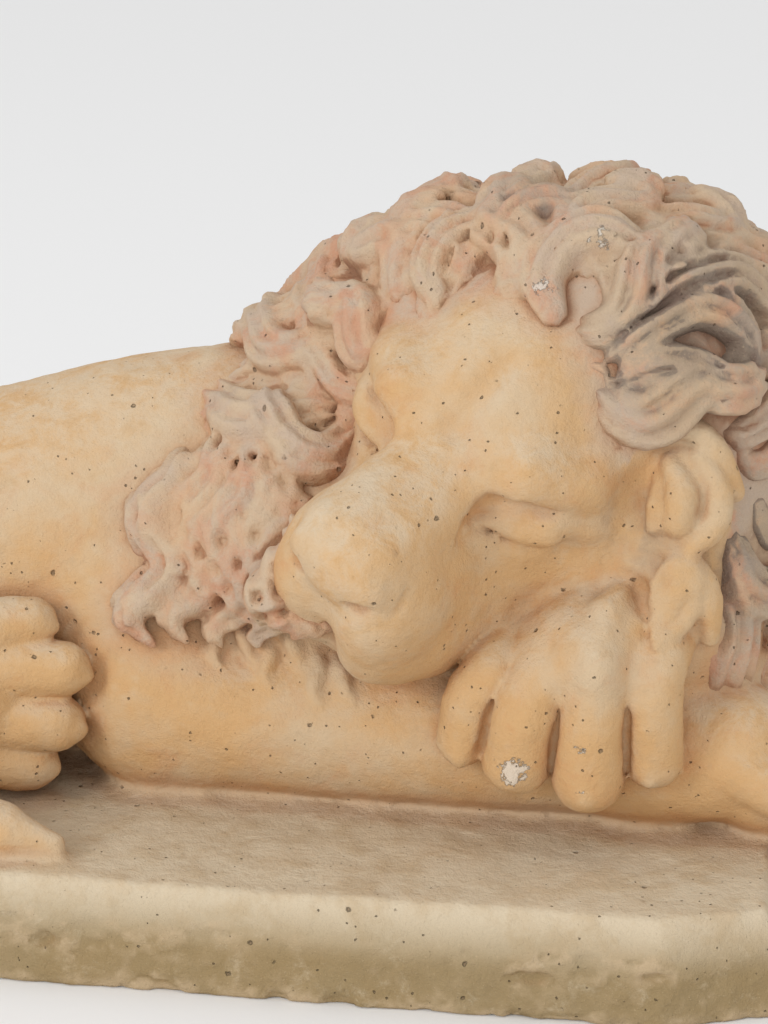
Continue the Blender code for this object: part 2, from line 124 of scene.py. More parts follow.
class Clay:
    """A box of distances on an even grid, in the figure's units."""

    def __init__(self, low_corner, high_corner, step):
        self.low, self.step = np.array(low_corner, float), step
        self.size = np.ceil((np.array(high_corner) - self.low) / step).astype(int) + 1
        self.distance = np.full(self.size, FAR, np.float32)
        self.lines = [(self.low[i] + step * np.arange(self.size[i])).astype(np.float32) for i in range(3)]

    def window(self, lower, upper):
        """The part of the block between two corners, and the places of its grid lines."""
        first = np.clip(np.floor((lower - self.low) / self.step), 0, self.size).astype(int)
        last = np.clip(np.ceil((upper - self.low) / self.step) + 1, first, self.size).astype(int)
        part = tuple(slice(a, b) for a, b in zip(first, last))
        x, y, z = (line[cut] for line, cut in zip(self.lines, part))
        return part, x[:, None, None], y[None, :, None], z[None, None, :]

    def work(self, part, tool, blend, cut):
        """Adds the tool's shape to the clay, or cuts it out, with a soft edge as wide as blend."""
        clay = self.distance[part]
        tool = np.minimum(tool, FAR)
        sign = -1 if cut else 1
        overlap = np.maximum(blend - np.abs(clay - sign * tool), 0)
        joined = np.maximum(clay, -tool) if cut else np.minimum(clay, tool)
        self.distance[part] = joined - sign * overlap ** 2 / (4 * blend)

    def mass(self, centre, radii, axes=LEVEL, blend=12, cut=False):
        """An ellipsoid of clay."""
        radii = np.array(radii, float)
        reach = np.linalg.norm(axes * radii, axis=1) + blend + MARGIN
        part, x, y, z = self.window(np.subtract(centre, reach), np.add(centre, reach))
        x, y, z = x - centre[0], y - centre[1], z - centre[2]
        inner, slope = 0, 1e-9
        for axis, radius in zip(axes.T, radii):
            along = x * axis[0] + y * axis[1] + z * axis[2]
            inner = inner + (along / radius) ** 2
            slope = slope + (along / radius ** 2) ** 2
        inner = np.sqrt(inner)
        tool = np.where(inner < 0.001, -radii.min(), inner * (inner - 1) / np.sqrt(slope))
        self.work(part, tool.astype(np.float32), blend, cut)

    def roll(self, route, radii, blend=6, cut=False, facing=None, thickness=1.0, strands=0, groove=0.0):
        """A roll of clay along a route. With facing, it is flattened and can be combed into strands."""
        route = np.array(route, float)
        radii = np.broadcast_to(np.array(radii, float), len(route))
        margin = radii.max() + blend + MARGIN
        part, x, y, z = self.window(route.min(axis=0) - margin, route.max(axis=0) + margin)
        tool = np.full(self.distance[part].shape, FAR, np.float32)
        for i in range(len(route) - 1):
            start, run = route[i].astype(np.float32), (route[i + 1] - route[i]).astype(np.float32)
            square = max(float(run @ run), 1e-9)
            from_start = [x - start[0], y - start[1], z - start[2]]
            along = (from_start[0] * run[0] + from_start[1] * run[1] + from_start[2] * run[2]) / square
            along = np.clip(along, 0, 1)
            off = [gap - along * step for gap, step in zip(from_start, run)]
            radius = radii[i] + along * (radii[i + 1] - radii[i])
            if facing is None:
                tool = np.minimum(tool, np.sqrt(off[0] ** 2 + off[1] ** 2 + off[2] ** 2) - radius)
                continue
            ahead = run / math.sqrt(square)
            out = facing[i] + facing[i + 1]
            out = out - (out @ ahead) * ahead
            out /= np.linalg.norm(out) + 1e-9
            across = np.cross(ahead, out)
            side = sum(o * a for o, a in zip(off, across)) / radius
            rise = sum(o * a for o, a in zip(off, out)) / (radius * thickness)
            past = sum(o * a for o, a in zip(off, ahead)) / radius
            spread = np.sqrt(side ** 2 + rise ** 2 + past ** 2)
            comb = groove * np.clip(radius / radii.max(), 0, 1) * np.cos(strands * math.pi * np.clip(side, -1, 1))
            tool = np.minimum(tool, (spread - 1) * radius * thickness - comb)
        self.work(part, tool.astype(np.float32), blend, cut)

    def read(self, places):
        """The distance at each place, from the nearest grid point."""
        index = np.round((places - self.low) / self.step).astype(int)
        inside = np.all((index >= 0) & (index < self.size), axis=1)
        index = np.clip(index, 0, self.size - 1)
        return np.where(inside, self.distance[index[:, 0], index[:, 1], index[:, 2]], FAR)

    def seat(self, place, direction, lift=0.0, reach=90.0):
        """The point where a ray that comes back along direction to place first meets the clay."""
        direction = np.array(direction, float) / np.linalg.norm(direction)
        steps = np.arange(reach, -reach, -SEAT_STEP)
        ray = np.array(place, float) + steps[:, None] * direction
        met = int(np.argmax(self.read(ray) < 0))
        return ray[met] + direction * lift


BLOCK_LOW, BLOCK_HIGH = (-420.0, -182.0, -66.0), (450.0, 182.0, 372.0)
BODY_GRAIN = 2.0
lion = Clay(BLOCK_LOW, BLOCK_HIGH, BODY_GRAIN)
print("the lion's clay has", f"{lion.distance.size:,}", "numbers")

# %% [markdown]
# ## The trunk
# The trunk is one long smooth form: a narrow loin, a deep rib cage and a chest that spreads on
# the plinth. It could be a lofted tube, but a trunk that lies down is flatter below than above.
# So it is a row of overlapping ellipsoids whose width, height and centre change smoothly.

# %% Trunk from loin to chest
TRUNK_STATIONS = np.array([  # along, across, height of the middle, half width, half height
    (-290, 34, 90, 86, 103), (-215, 38, 92, 92, 106), (-140, 40, 90, 90, 98),
    (-50, 42, 95, 93, 101), (30, 50, 106, 86, 112), (90, 56, 112, 78, 116)], float)
TRUNK_SLICES = 17
SLICE_HALF_LENGTH = 78

shares = np.linspace(0, 1, len(TRUNK_STATIONS))
for share in np.linspace(0, 1, TRUNK_SLICES):
    along, across, height, half_width, half_height = (np.interp(share, shares, c) for c in TRUNK_STATIONS.T)
    lion.mass((along, across, height), (SLICE_HALF_LENGTH, half_width, half_height), blend=6)
lion.mass((200, 60, 80), (120, 92, 90), blend=30)
print("trunk slices:", TRUNK_SLICES)

# %% [markdown]
# ## Legs and tail
# The right foreleg lies along the front of the plinth and carries the weight of the head. The
# hind leg is folded, with its thigh as a broad disc and its paw turned to the viewer. The tail
# comes round the haunch and lies on the plinth. Rolls and masses with wide blends give the
# stretched skin between them.

# %% Right foreleg, hind legs and tail
lion.mass((62, -8, 62), (58, 50, 64), blend=30)
lion.roll([(62, -14, 44), (150, -20, 44), (250, -28, 43), (330, -32, 40)], (48, 46, 42, 37), blend=18)
lion.roll([(330, -32, 40), (372, -36, 42), (392, -40, 32)], (38, 38, 32), blend=12)

THIGH_AXES = axes_along((-290, -20, 120), (-100, -56, 74))
lion.mass((-192, -38, 92), (58, 118, 82), THIGH_AXES, blend=25)
lion.roll([(-90, -62, 70), (-150, -84, 45), (-235, -88, 34)], (40, 30, 26), blend=12)
lion.roll([(-238, -88, 32), (-150, -84, 46), (-80, -66, 56), (-40, -58, 60)], (27, 29, 34, 42), blend=12)
lion.mass((-210, 96, 78), (110, 50, 76), blend=20)
lion.roll([(-225, 118, 27), (-90, 120, 27), (-30, 118, 28)], (26, 27, 30), blend=12)

TAIL_ROUTE = smooth_route([(-330, 30, 100), (-366, 0, 70), (-380, -55, 34), (-345, -108, 20),
                           (-250, -130, 17), (-150, -133, 16), (-85, -131, 16)], 22)
lion.roll(TAIL_ROUTE, np.interp(np.linspace(0, 1, 22), [0, 0.3, 1], (22, 16, 13)), blend=8)
lion.mass((-42, -130, 16), (58, 20, 19), blend=8)
lion.roll([(-30, -132, 16), (8, -134, 14), (34, -134, 8)], (16, 12, 5), blend=6)
TUFT_GROOVES = 5
for row in range(TUFT_GROOVES):
    side = (row - (TUFT_GROOVES - 1) / 2) * 8
    ends = [lion.seat((x, -130 + side * (1 - 0.012 * (x + 80)), 10), (0, side / 40, 1)) for x in (-78, -40, -4)]
    lion.roll(ends, (0.8, 1.8, 0.8), blend=3, cut=True)
print("tail tuft grooves:", TUFT_GROOVES)

# %% [markdown]
# ## The mane's core
# Under the locks lies the big shape of the mane. It has to be right first, because the locks
# only follow it. A few large masses make it, and the same masses, kept in a list, later say
# which way is outwards and how far a hair root is from the surface.

# %% Core masses
MANE_MASSES = [((182, 62, 172), (90, 78, 108), LEVEL), ((232, 52, 205), (84, 88, 106), LEVEL),
               ((292, 42, 190), (116, 102, 132), LEVEL), ((316, 28, 128), (82, 90, 92), LEVEL),
               ((133, 16, 128), (66, 68, 82), LEVEL), (from_head((-16, -62, 18)), (88, 54, 98), HEAD_AXES)]
for centre, radii, axes in MANE_MASSES:
    lion.mass(centre, radii, axes)

# the left foreleg crosses in front of the chest, and its paw is the pillow
lion.roll([(300, 110, 55), (362, 50, 78), (350, -10, 100), (322, -42, 108)], (48, 44, 40, 32), blend=12)
lion.mass((300, -56, 104), (34, 54, 28), axes_along((262, -76, 92), (340, -42, 122)), blend=8)
print("core masses:", len(MANE_MASSES))

# %% [markdown]
# ## The head
# A lion's skull is long and square: a wide forehead, a straight broad bridge, heavy upper lips
# and a firm chin. The head has its own axes, so its forms are given as right, forward and up,
# and each one is made once for both sides.

# %% Skull, cheeks, bridge, lips and chin
def head_mass(place, radii, blend=10, cut=False):
    lion.mass(from_head(place), radii, HEAD_AXES, blend, cut)


def head_roll(places, radii, blend=5, cut=False):
    lion.roll([from_head(p) for p in places], radii, blend, cut)


head_mass((0, -42, 22), (68, 80, 72))
head_mass((0, -4, 36), (54, 58, 47), blend=20)
for side in BOTH_SIDES:
    head_mass((side * 38, -4, -12), (34, 54, 52), blend=18)
    head_mass((side * 27, 36, -24), (32, 58, 34), blend=22)
    head_mass((side * 28, 28, -46), (32, 58, 27), blend=14)
    head_roll([(side * 8, 20, 26), (side * 9, 70, 25), (side * 10, 122, 28)], (25, 23, 20), blend=16)
for side in BOTH_SIDES:
    head_mass((side * 21, 96, -12), (27, 47, 35), blend=14)
    head_mass((side * 19, 96, -34), (27, 40, 32), blend=12)
    head_mass((side * 26, 66, -42), (29, 48, 30), blend=16)
    head_mass((side * 17, 113, 2), (23, 28, 28), blend=16)
head_mass((0, 88, -50), (28, 34, 22), blend=8)

# %% [markdown]
# ## The sleeping face
# The eyes are closed, so each is a soft lid under a heavy brow: a bulge, a crease above it, a
# slit that curves down, a thin lower rim and two small folds. These have to lie exactly on the skin. Each point
# is seated: a ray is sent to the face from outside, and the point is put where it meets the clay.

# %% Brows, lids, nose and mouth
def on_face(right, up, lift=0.0, forward=40.0, looking=None):
    """A point of the face's skin, met from outside, raised by lift."""
    if looking is None:
        looking = (0, 1, 0) if right == 0 else (0.62 * np.sign(right), 0.66, 0.42)
    return lion.seat(from_head((right, forward, up)), HEAD_AXES @ np.array(looking, float), lift)


for side in BOTH_SIDES:
    head_roll([(side * 22, 43, 42), (side * 40, 39, 48), (side * 60, 17, 41)], (11, 16, 13), blend=18)
    socket = [on_face(side * r, u, 1, f) for r, f, u in ((25, 56, 26), (31, 54, 33), (42, 46, 35), (54, 34, 30))]
    lion.roll(socket, (5, 6, 5, 4), blend=8, cut=True)
    lion.mass(on_face(side * 44, 23, -8), (24, 15, 13), HEAD_AXES, blend=6)
    upper = [on_face(side * r, u, -1, f) for r, f, u in ((27, 57, 21), (36, 53, 21), (46, 45, 17), (57, 34, 15))]
    lion.roll(upper, (2, 3, 3, 2), blend=4)
    slit = [on_face(side * r, u, 0.3, f) for r, f, u in (
        (20, 61, 13), (27, 57, 17), (34, 54, 16), (41, 49, 12), (48, 42, 9), (56, 34, 10), (62, 25, 14))]
    lion.roll(slit, (2.0, 2.4, 2.2, 2.0, 2.0, 1.8, 1.0), blend=2, cut=True)
    rim = [on_face(side * r, u, -1.5, f) for r, f, u in ((28, 56, 10), (37, 52, 6), (47, 43, 3), (56, 34, 5))]
    lion.roll(rim, (2.5, 3.5, 3.5, 2.5), blend=6)
    corner = [on_face(side * r, u, 0.5, f) for r, f, u in ((26, 57, 27), (20, 61, 24), (18, 63, 16))]
    lion.roll(corner, (2, 3.5, 2), blend=4, cut=True)
    fold = [on_face(side * r, u, -1.5, f) for r, f, u in ((56, 34, 24), (64, 22, 20), (70, 8, 13))]
    lion.roll(fold, (4, 5, 3), blend=10)
lion.roll([on_face(0, u, 3) for u in (60, 72, 84)], (4, 5, 4), blend=12, cut=True)

head_mass((0, 136, 25), (29, 12, 18), blend=4)
for side in BOTH_SIDES:
    lion.mass(on_face(side * 20, 17, 0, 150, (0, 1, 0)), (7, 7, 4), HEAD_AXES, blend=3, cut=True)
    wing = [on_face(side * r, u, 0.3, 120) for r, u in ((31, 24), (29, 16), (24, 9))]
    lion.roll(wing, (1.0, 1.8, 1.4), blend=3, cut=True)
lion.roll([on_face(0, u, 0.5) for u in (6, -8, -24, -38)], (2.2, 2.4, 2.4, 2.0), blend=4, cut=True)
print("face carved")

# %% [markdown]
# ## The ear and the folds beside the cheek
# The near ear hangs like a cupped leaf: a raised rim arches over it, and lobes lie inside. A deep
# groove parts it from the cheek, and two folds of skin run from it down to the paw.

# %% Ear, groove and folds
EAR_AXES = axes_along((0, 0, 0), (0.3, -1, 0.25))
lion.mass((348, -60, 191), (25, 16, 38), EAR_AXES, blend=8, cut=True)
lion.roll([(333, -64, 212), (325, -60, 190), (319, -66, 168), (309, -66, 148)], (6, 9, 9, 6), blend=8, cut=True)
lion.mass((349, -46, 188), (20, 13, 32), EAR_AXES, blend=4)
EAR_LOBES = [([(338, -55, 203), (344, -60, 188), (343, -61, 173)], (4, 9, 9)),
             ([(352, -53, 206), (362, -55, 190), (361, -58, 173), (350, -62, 161)], (4, 7.5, 8, 6.5)),
             ([(333, -54, 192), (332, -57, 180), (331, -60, 170)], (3, 6, 5)),
             ([(332, -55, 168), (340, -56, 164), (350, -56, 161)], (5, 6, 5)),
             ([(328, -50, 212), (345, -50, 220), (361, -47, 207), (371, -46, 186)], (5, 6, 6.5, 5))]
for route, radii in EAR_LOBES:
    spread = np.interp(np.linspace(0, len(radii) - 1, 9), range(len(radii)), radii)
    lion.roll(smooth_route(route, 9), spread, blend=3)
for inward in (0, 11):
    fold = [(329 - inward, -58, 161 - inward), (345 - inward, -61, 155 - inward),
            (358 - inward, -60, 139), (361 - inward, -58, 112)]
    lion.roll(smooth_route(fold, 9), (2, 4, 6.5, 7.5, 7.5, 7.5, 7.5, 6.5, 5), blend=2.5)
lion.roll([(326, -55, 157), (338, -57, 151), (350, -56, 142)], (4, 5, 4), blend=6)
print("ear and folds done")

# %% [markdown]
# ## Paws
# Each toe is a short roll that bulges at the knuckle and ends in a full round tip. Between the
# toes of the pillow paw the clefts are deep and dark. Each runs where the rolls of two neighbours
# meet, which follows from their radii, and a thin cut deepens it there.

# %% Toes of the pillow paw, the resting paw and the hind paw
PILLOW_TOES = [  # knuckle along, knuckle height, tip along, tip height, tip across, radius, tip radius
    (252, 96, 238, 56, -76, 14.5, 14.5), (279, 98, 266, 50, -84, 17, 19),
    (308, 98, 303, 44, -85, 17, 19.5), (335, 100, 335, 52, -78, 15.5, 16)]
toes = []
for x, z, tip_x, tip_z, tip_y, radius, tip_radius in PILLOW_TOES:
    middle = ((x + tip_x) / 2 - 1, tip_y - 3, (z + tip_z) / 2 + 6)
    toe = smooth_route([(x + 4, -56, z + 8), (x, -76, z), middle, (tip_x, tip_y, tip_z)], 9)
    radii = np.interp(np.linspace(0, 1, 9), [0, 0.5, 0.75, 1], (radius, radius, radius + 1, tip_radius))
    lion.roll(toe, radii, blend=1)
    lion.mass((tip_x - 1, tip_y - tip_radius + 4, tip_z - 6), (4, 4, 6), blend=4)
    toes.append((np.asarray(toe, float), radii))
for (left, left_radii), (right, right_radii) in zip(toes, toes[1:]):
    across = right - left
    apart = np.linalg.norm(across, axis=1)
    across = across / apart[:, None]
    share = (apart ** 2 + left_radii ** 2 - right_radii ** 2) / (2 * apart)
    rise = np.sqrt(np.clip(left_radii ** 2 - share ** 2, 0, None))
    outward = np.array([0.0, -1.0, 0.0]) + across * across[:, 1:2]
    outward /= np.linalg.norm(outward, axis=1)[:, None]
    cleft = left + across * share[:, None] + outward * rise[:, None]
    lion.roll(cleft[3:], (0.8, 1.6, 2.2, 2.4, 2.4, 2.2), blend=2, cut=True)
lion.mass((298, -58, 106), (50, 24, 24), axes_along((250, -76, 96), (330, -60, 112)), blend=16)
for y, rise in ((-66, -2), (-46, 4), (-25, 4), (-6, -2)):
    toe = [(375, 0.9 * y - 2, 44 + rise), (405, y - 2, 34 + rise), (420, y - 2, 12 + rise)]
    lion.roll(toe, (15.5, 15, 12.5), blend=3)
HIND_TOES = [(92, 3, -58, 101, 16.5), (74, 20, -63, 77, 18), (48, 16, -65, 47, 18.5), (26, 1, -62, 22, 17.5)]
for z, tip_x, tip_y, tip_z, radius in HIND_TOES:
    toe = [(-55, -60, z), (-22, -66, (z + tip_z) / 2 + 2), (tip_x, tip_y, tip_z)]
    lion.roll(toe, (radius, radius + 0.5, radius - 3), blend=3)
    lion.mass((tip_x + radius - 7, tip_y - 2, tip_z - 3), (6, 4, 4), blend=5)
print("toes:", len(PILLOW_TOES), "on the pillow paw and", len(HIND_TOES), "on the hind paw")

# %% [markdown]
# ## Chest fur and the leaf-shaped tuft
# Low on the foreleg a row of small flame-shaped wisps shows where the fur of the throat ends.
# Beside the ear a pointed tuft, like a leaf, falls over the wrist.

# %% Wisps and tuft
WISP_ROOTS = [(98, 96), (112, 92), (126, 86), (140, 88), (153, 80), (166, 76)]
for number, (x, z) in enumerate(WISP_ROOTS):
    drop = 22 if number % 2 else 28
    lean = 7 if number % 2 else 2
    points = [(x, z), (x + 4, z - drop * 0.35), (x + lean, z - drop * 0.7), (x + lean + 5, z - drop)]
    route = [lion.seat((px, -20, pz), (0, -1, 0.3), 0.5) for px, pz in points]
    lion.roll(smooth_route(route, 7), (3, 4.5, 5, 4.6, 3.8, 2.6, 1.2), blend=3)
LEAF_FACING = np.array([0.15, -0.93, 0.35])
LEAF_MIDDLE = ((345, 150, -2), (343, 140, 0), (339, 122, 3), (329, 101, 3))  # along, height, lift
LEAF = smooth_route([lion.seat((x, -60, z), LEAF_FACING, lift) for x, z, lift in LEAF_MIDDLE], 9)
lion.roll(LEAF, (6, 10.5, 13.5, 14, 13, 11, 8, 5, 2), blend=1.2,
          facing=np.tile(LEAF_FACING, (9, 1)), thickness=0.42)
SIDE_TUFT = [lion.seat((x, -60, z), LEAF_FACING, -2) for x, z in ((314, 132), (306, 124), (304, 112))]
lion.roll(SIDE_TUFT, (6, 8, 4), blend=7)
LEAF_CUTS = [[(349, 132), (344, 122), (336, 115)], [(325, 146), (324, 134), (327, 119)],
             [(336, 146), (335, 138), (333, 130)]]
for ends in LEAF_CUTS:
    lion.roll([lion.seat((x, -60, z), LEAF_FACING, 0.8) for x, z in ends], (1.5, 3.0, 1.2), blend=3, cut=True)
print("wisps:", len(WISP_ROOTS))

# %% [markdown]
# ## Locks of the mane
# The mane shows a few hundred locks, each a flattened S with two or three combed strands. Placing
# each by hand would take days, and a random scatter looks like moss. So roots are spread evenly
# over the core, and each lock walks over it in small steps: away from the face, back and down,
# swaying from side to side and curling at its tip.

# %% The direction in which hair lies
FACE_MIDDLE = np.array([231.0, -50.0, 196.0])
LOCK_SPACING = 29.0
LOCK_STEPS = 14
LOCK_SHORTEST, LOCK_LONGEST = 66, 104
CURL_START = 0.74  # the share of a lock's length after which its tip curls


def mane_distance(places):
    """How far each place is outside the mane's core."""
    nearest, blend = np.full(len(places), 1e9), 15.0
    for centre, radii, axes in MANE_MASSES:
        offset = (places - np.array(centre)) @ axes
        inner = np.linalg.norm(offset / radii, axis=1)
        slope = np.linalg.norm(offset / np.square(radii), axis=1) + 1e-9
        distance = inner * (inner - 1) / slope
        overlap = np.maximum(blend - np.abs(nearest - distance), 0)
        nearest = np.minimum(nearest, distance) - overlap ** 2 / (4 * blend)
    return nearest


def mane_normal(places):
    """The direction straight out of the core."""
    slope = np.stack([mane_distance(places + s) - mane_distance(places - s) for s in LEVEL * 0.5], axis=1)
    return slope / np.linalg.norm(slope, axis=1, keepdims=True)


def settle(places):
    """Moves places on to the core's surface."""
    for _ in range(2):
        places = places - mane_distance(places)[:, None] * mane_normal(places)
    return places


def hair_direction(places, normals):
    """Away from the face, and the lower the more downwards, along the surface."""
    away = places - FACE_MIDDLE
    away /= np.linalg.norm(away, axis=1, keepdims=True)
    weight = 0.35 + 0.5 * np.clip((150 - places[:, 2]) / 100, 0, 1.2)
    pull = away + np.column_stack([np.full(len(places), -0.25), np.full(len(places), 0.15), -weight])
    pull -= np.sum(pull * normals, axis=1, keepdims=True) * normals
    return pull / np.linalg.norm(pull, axis=1, keepdims=True)


# the ear, and the cheek down to the wrist
KEPT_CLEAR = [((344, -62, 168), (32, 44, 64)), ((308, -66, 136), (44, 46, 44))]


def near_ear(places):
    return np.any([np.linalg.norm((places - c) / np.array(r), axis=1) < 1 for c, r in KEPT_CLEAR], axis=0)


def near_fringe(places):
    """True where the long strands of the fringe hang, so that no other lock grows there."""
    return (places[:, 0] < 170) & (places[:, 1] < 20) & (places[:, 2] < 158)


def grows_hair(places):
    """False on the face, on the ear, on the chest and near the plinth."""
    right, forward, up = ((places - HEAD_CENTRE) @ HEAD_AXES).T
    muzzle = forward > 55
    wide = np.where(muzzle, 44, np.where(right > 0, 50, 68))
    tall = np.where(muzzle, 60, 82)
    on_head = ((right / wide) ** 2 + ((up - 8) / tall) ** 2 < 1) & (forward > -25)
    x, y, z = places.T
    on_chest = (y < 0) & (z < 110) & (x > 120) & (x < 330)
    return ~on_head & ~on_chest & ~near_ear(places) & (z > 60)


# %% Roots and routes of the locks
def lock_roots(chance, spacing):
    """Places on the core that are no closer to each other than the spacing."""
    seeds = []
    for centre, radii, axes in MANE_MASSES:
        outward = chance.normal(size=(1200, 3))
        outward /= np.linalg.norm(outward, axis=1, keepdims=True)
        seeds.append(np.array(centre) + (outward * radii) @ axes.T)
    seeds = chance.permutation(np.vstack(seeds))
    seeds = settle(seeds[mane_distance(seeds) > -12])
    roots = []
    for seed in seeds[grows_hair(seeds)]:
        if all(np.linalg.norm(seed - root) > spacing for root in roots):
            roots.append(seed)
    return np.array(roots)


def wandering_locks(chance, spacing, thinnest, thickest, lift):
    """Each lock's route, the directions that it faces, and its radii."""
    place = lock_roots(chance, spacing)
    count = len(place)
    length = chance.uniform(LOCK_SHORTEST, LOCK_LONGEST, count)
    radius = chance.uniform(thinnest, thickest, count)
    hand = np.where(np.sin(place @ (0.021, 0.017, 0.026) + 1.0) > 0, 1, -1)
    sway = chance.uniform(0.6, 1.0, count)
    phase = place @ (0.030, 0.024, 0.036) + chance.uniform(0, 1.3, count)
    routes, facings = [], []
    for step in range(LOCK_STEPS + 1):
        share = step / LOCK_STEPS
        normal = mane_normal(place)
        ahead = hair_direction(place, normal)
        sideways = np.cross(normal, ahead)
        curl = 2.2 * hand * max(0, (share - CURL_START) / (1 - CURL_START)) ** 1.2
        angle = (sway * np.sin(2.3 * math.pi * share + phase) + curl)[:, None]
        routes.append(place + normal * (lift * share - 3))
        facings.append(normal)
        stride = (np.cos(angle) * ahead + np.sin(angle) * sideways) * (length / LOCK_STEPS)[:, None]
        place = settle(place + stride)
    share = np.linspace(0, 1, LOCK_STEPS + 1)
    swell = 0.55 + 0.45 * np.sin(1.25 * math.pi * share)
    taper = np.clip(np.where(share < 0.8, swell, 1 - 1.9 * (share - 0.8)), 0.5, 1)
    routes, facings = np.array(routes).transpose(1, 0, 2), np.array(facings).transpose(1, 0, 2)
    free = [i for i in range(count) if routes[i][:, 2].min() > 14 and not near_ear(routes[i]).any()
            and near_fringe(routes[i]).mean() < 0.12]
    return [(routes[i], facings[i], radius[i] * taper) for i in free]


MANE_GRAIN = 1.8
MANE_LOW, MANE_HIGH = (30.0, -130.0, -10.0), (450.0, 182.0, 372.0)
mane = Clay(MANE_LOW, MANE_HIGH, MANE_GRAIN)
chance = np.random.default_rng(7)
top_locks = wandering_locks(chance, LOCK_SPACING, 12.0, 16.0, 14.0)
under_locks = wandering_locks(chance, LOCK_SPACING * 0.85, 9.0, 12.0, 2.0)


def lay_lock(route, facing, radii, thickness=0.8, groove=3.2, moat=1.2):
    """Clears a narrow groove round the lock, and then lays the lock over those below it."""
    if moat:
        mane.roll(route, radii + moat, blend=3.0, cut=True, facing=facing, thickness=thickness)
    mane.roll(route, radii, blend=2.5, facing=facing, thickness=thickness, strands=2.5, groove=groove)


top_locks.sort(key=lambda lock: -np.linalg.norm(lock[0][0] - FACE_MIDDLE))
for lock in under_locks:
    lay_lock(*lock, groove=2.0, moat=0)
for lock in top_locks:
    lay_lock(*lock)
print("locks:", len(top_locks), "above and", len(under_locks), "below")

# %% [markdown]
# ## Locks that the eye goes to
# Round the forehead the sculptor set single locks with care: three hooked curls that fall
# towards the brow, and three long strands that sweep over the ear. Beside the muzzle a fringe of
# long strands hangs to the chest. These are placed one by one, with a few points each, over the
# ones that grew by rule.

# %% Locks round the forehead
FRONT_LOCKS = [  # route, widest radius
    ([(243, 10, 302), (227, 10, 306), (213, 2, 300), (208, -6, 286), (214, -16, 274)], 10),
    ([(296, -4, 309), (273, 10, 318), (254, 6, 314), (249, -8, 302), (257, -20, 290)], 11),
    ([(320, -24, 302), (299, -20, 311), (280, -22, 304), (271, -32, 289), (277, -44, 274)], 12),
    ([(308, -48, 256), (328, -46, 272), (350, -32, 278), (370, -22, 262), (373, -26, 240)], 11),
    ([(314, -44, 272), (340, -30, 288), (364, -6, 288), (384, 8, 270)], 11),
    ([(314, -52, 246), (336, -50, 253), (356, -44, 246), (367, -40, 228)], 9)]
for points, radius in FRONT_LOCKS:
    route = smooth_route(points, LOCK_STEPS)
    share = np.linspace(0, 1, LOCK_STEPS)
    radii = radius * np.clip(0.55 + 0.5 * np.sin(math.pi * share ** 0.9), 0.5, 1)
    lay_lock(route, mane_normal(route), radii, thickness=0.9)
FRINGE = [  # along, top, drop, radius
    (158, 146, 58, 14), (136, 158, 78, 15), (114, 170, 92, 16), (91, 178, 98, 16), (69, 172, 94, 15)]
for number, (first_x, top, drop, radius) in enumerate(FRINGE):
    share = np.linspace(0, 1, LOCK_STEPS)
    swing = 11 * np.sin(3.6 * math.pi * share + 0.4 * number) * (0.5 + 0.5 * share)
    route = np.array([lion.seat((first_x + s - 4 * t, 0, top - drop * t), (0, -1, 0.25), 2 + 4 * t)
                      for s, t in zip(swing, share)])
    radii = radius * np.clip(0.75 + 0.35 * np.sin(math.pi * share) - 0.5 * share ** 3, 0.3, 1)
    lay_lock(route, mane_normal(route), radii, thickness=0.65, groove=3.4)
print("locks set by hand:", len(FRONT_LOCKS), "and a fringe of", len(FRINGE))

# %% [markdown]
# ## Softened by the mould
# Where locks cross, thin slivers of clay are left between them. A mould would never release
# them, and weather would take them first. Averaging each number with its neighbours rounds the
# crests and takes the slivers away, as a wet brush does.

# %% Brush the mane
BRUSH_STROKES = 1
for _ in range(BRUSH_STROKES):
    for axis in range(3):
        before, after = np.roll(mane.distance, 1, axis), np.roll(mane.distance, -1, axis)
        mane.distance = (before + 2 * mane.distance + after) / 4
print("brushed", BRUSH_STROKES, "times")

# %% [markdown]
# ## The plinth
# The plinth is a plain slab with a sloping band round its top and one clipped corner. It is
# made last, so that the lion's underside sinks into it with a small cove, as in the mould.

# %% Plinth
EDGE_ROUND = 1.6
COVE = 9.0
ABOVE_SLAB = 40.0  # the cove ends well below this height
part, x, y, z = lion.window(np.array(BLOCK_LOW), np.array((BLOCK_HIGH[0], BLOCK_HIGH[1], ABOVE_SLAB)))
set_back = BAND_SETBACK * np.clip((z + BAND_HEIGHT) / BAND_HEIGHT, 0, 1)
walls = np.maximum(np.abs(x) - PLINTH_HALF_LENGTH, np.abs(y) - PLINTH_HALF_DEPTH)
corner_reach = PLINTH_HALF_LENGTH * CORNER_FACING[0] - PLINTH_HALF_DEPTH * CORNER_FACING[1] - CORNER_CLIP
walls = np.maximum(walls, x * CORNER_FACING[0] + y * CORNER_FACING[1] - corner_reach) + EDGE_ROUND + set_back
slab = np.abs(z + PLINTH_HEIGHT / 2) - PLINTH_HEIGHT / 2 + EDGE_ROUND
slab_distance = np.hypot(np.maximum(walls, 0), np.maximum(slab, 0))
slab_distance = slab_distance + np.minimum(np.maximum(walls, slab), 0) - EDGE_ROUND
lion.work(part, slab_distance.astype(np.float32), COVE, False)
print("plinth", round(2 * PLINTH_HALF_LENGTH), "x", round(2 * PLINTH_HALF_DEPTH), "x", PLINTH_HEIGHT)

# %% [markdown]
# ## Years outdoors
# Frost and rain make the faces uneven and nibble the edges. Smooth random swells, drawn on
# coarse grids and enlarged, push the surface in and out by up to two millimetres, and small
# bites are cut from the plinth's arrises. The underside stays flat, because it stands on it.

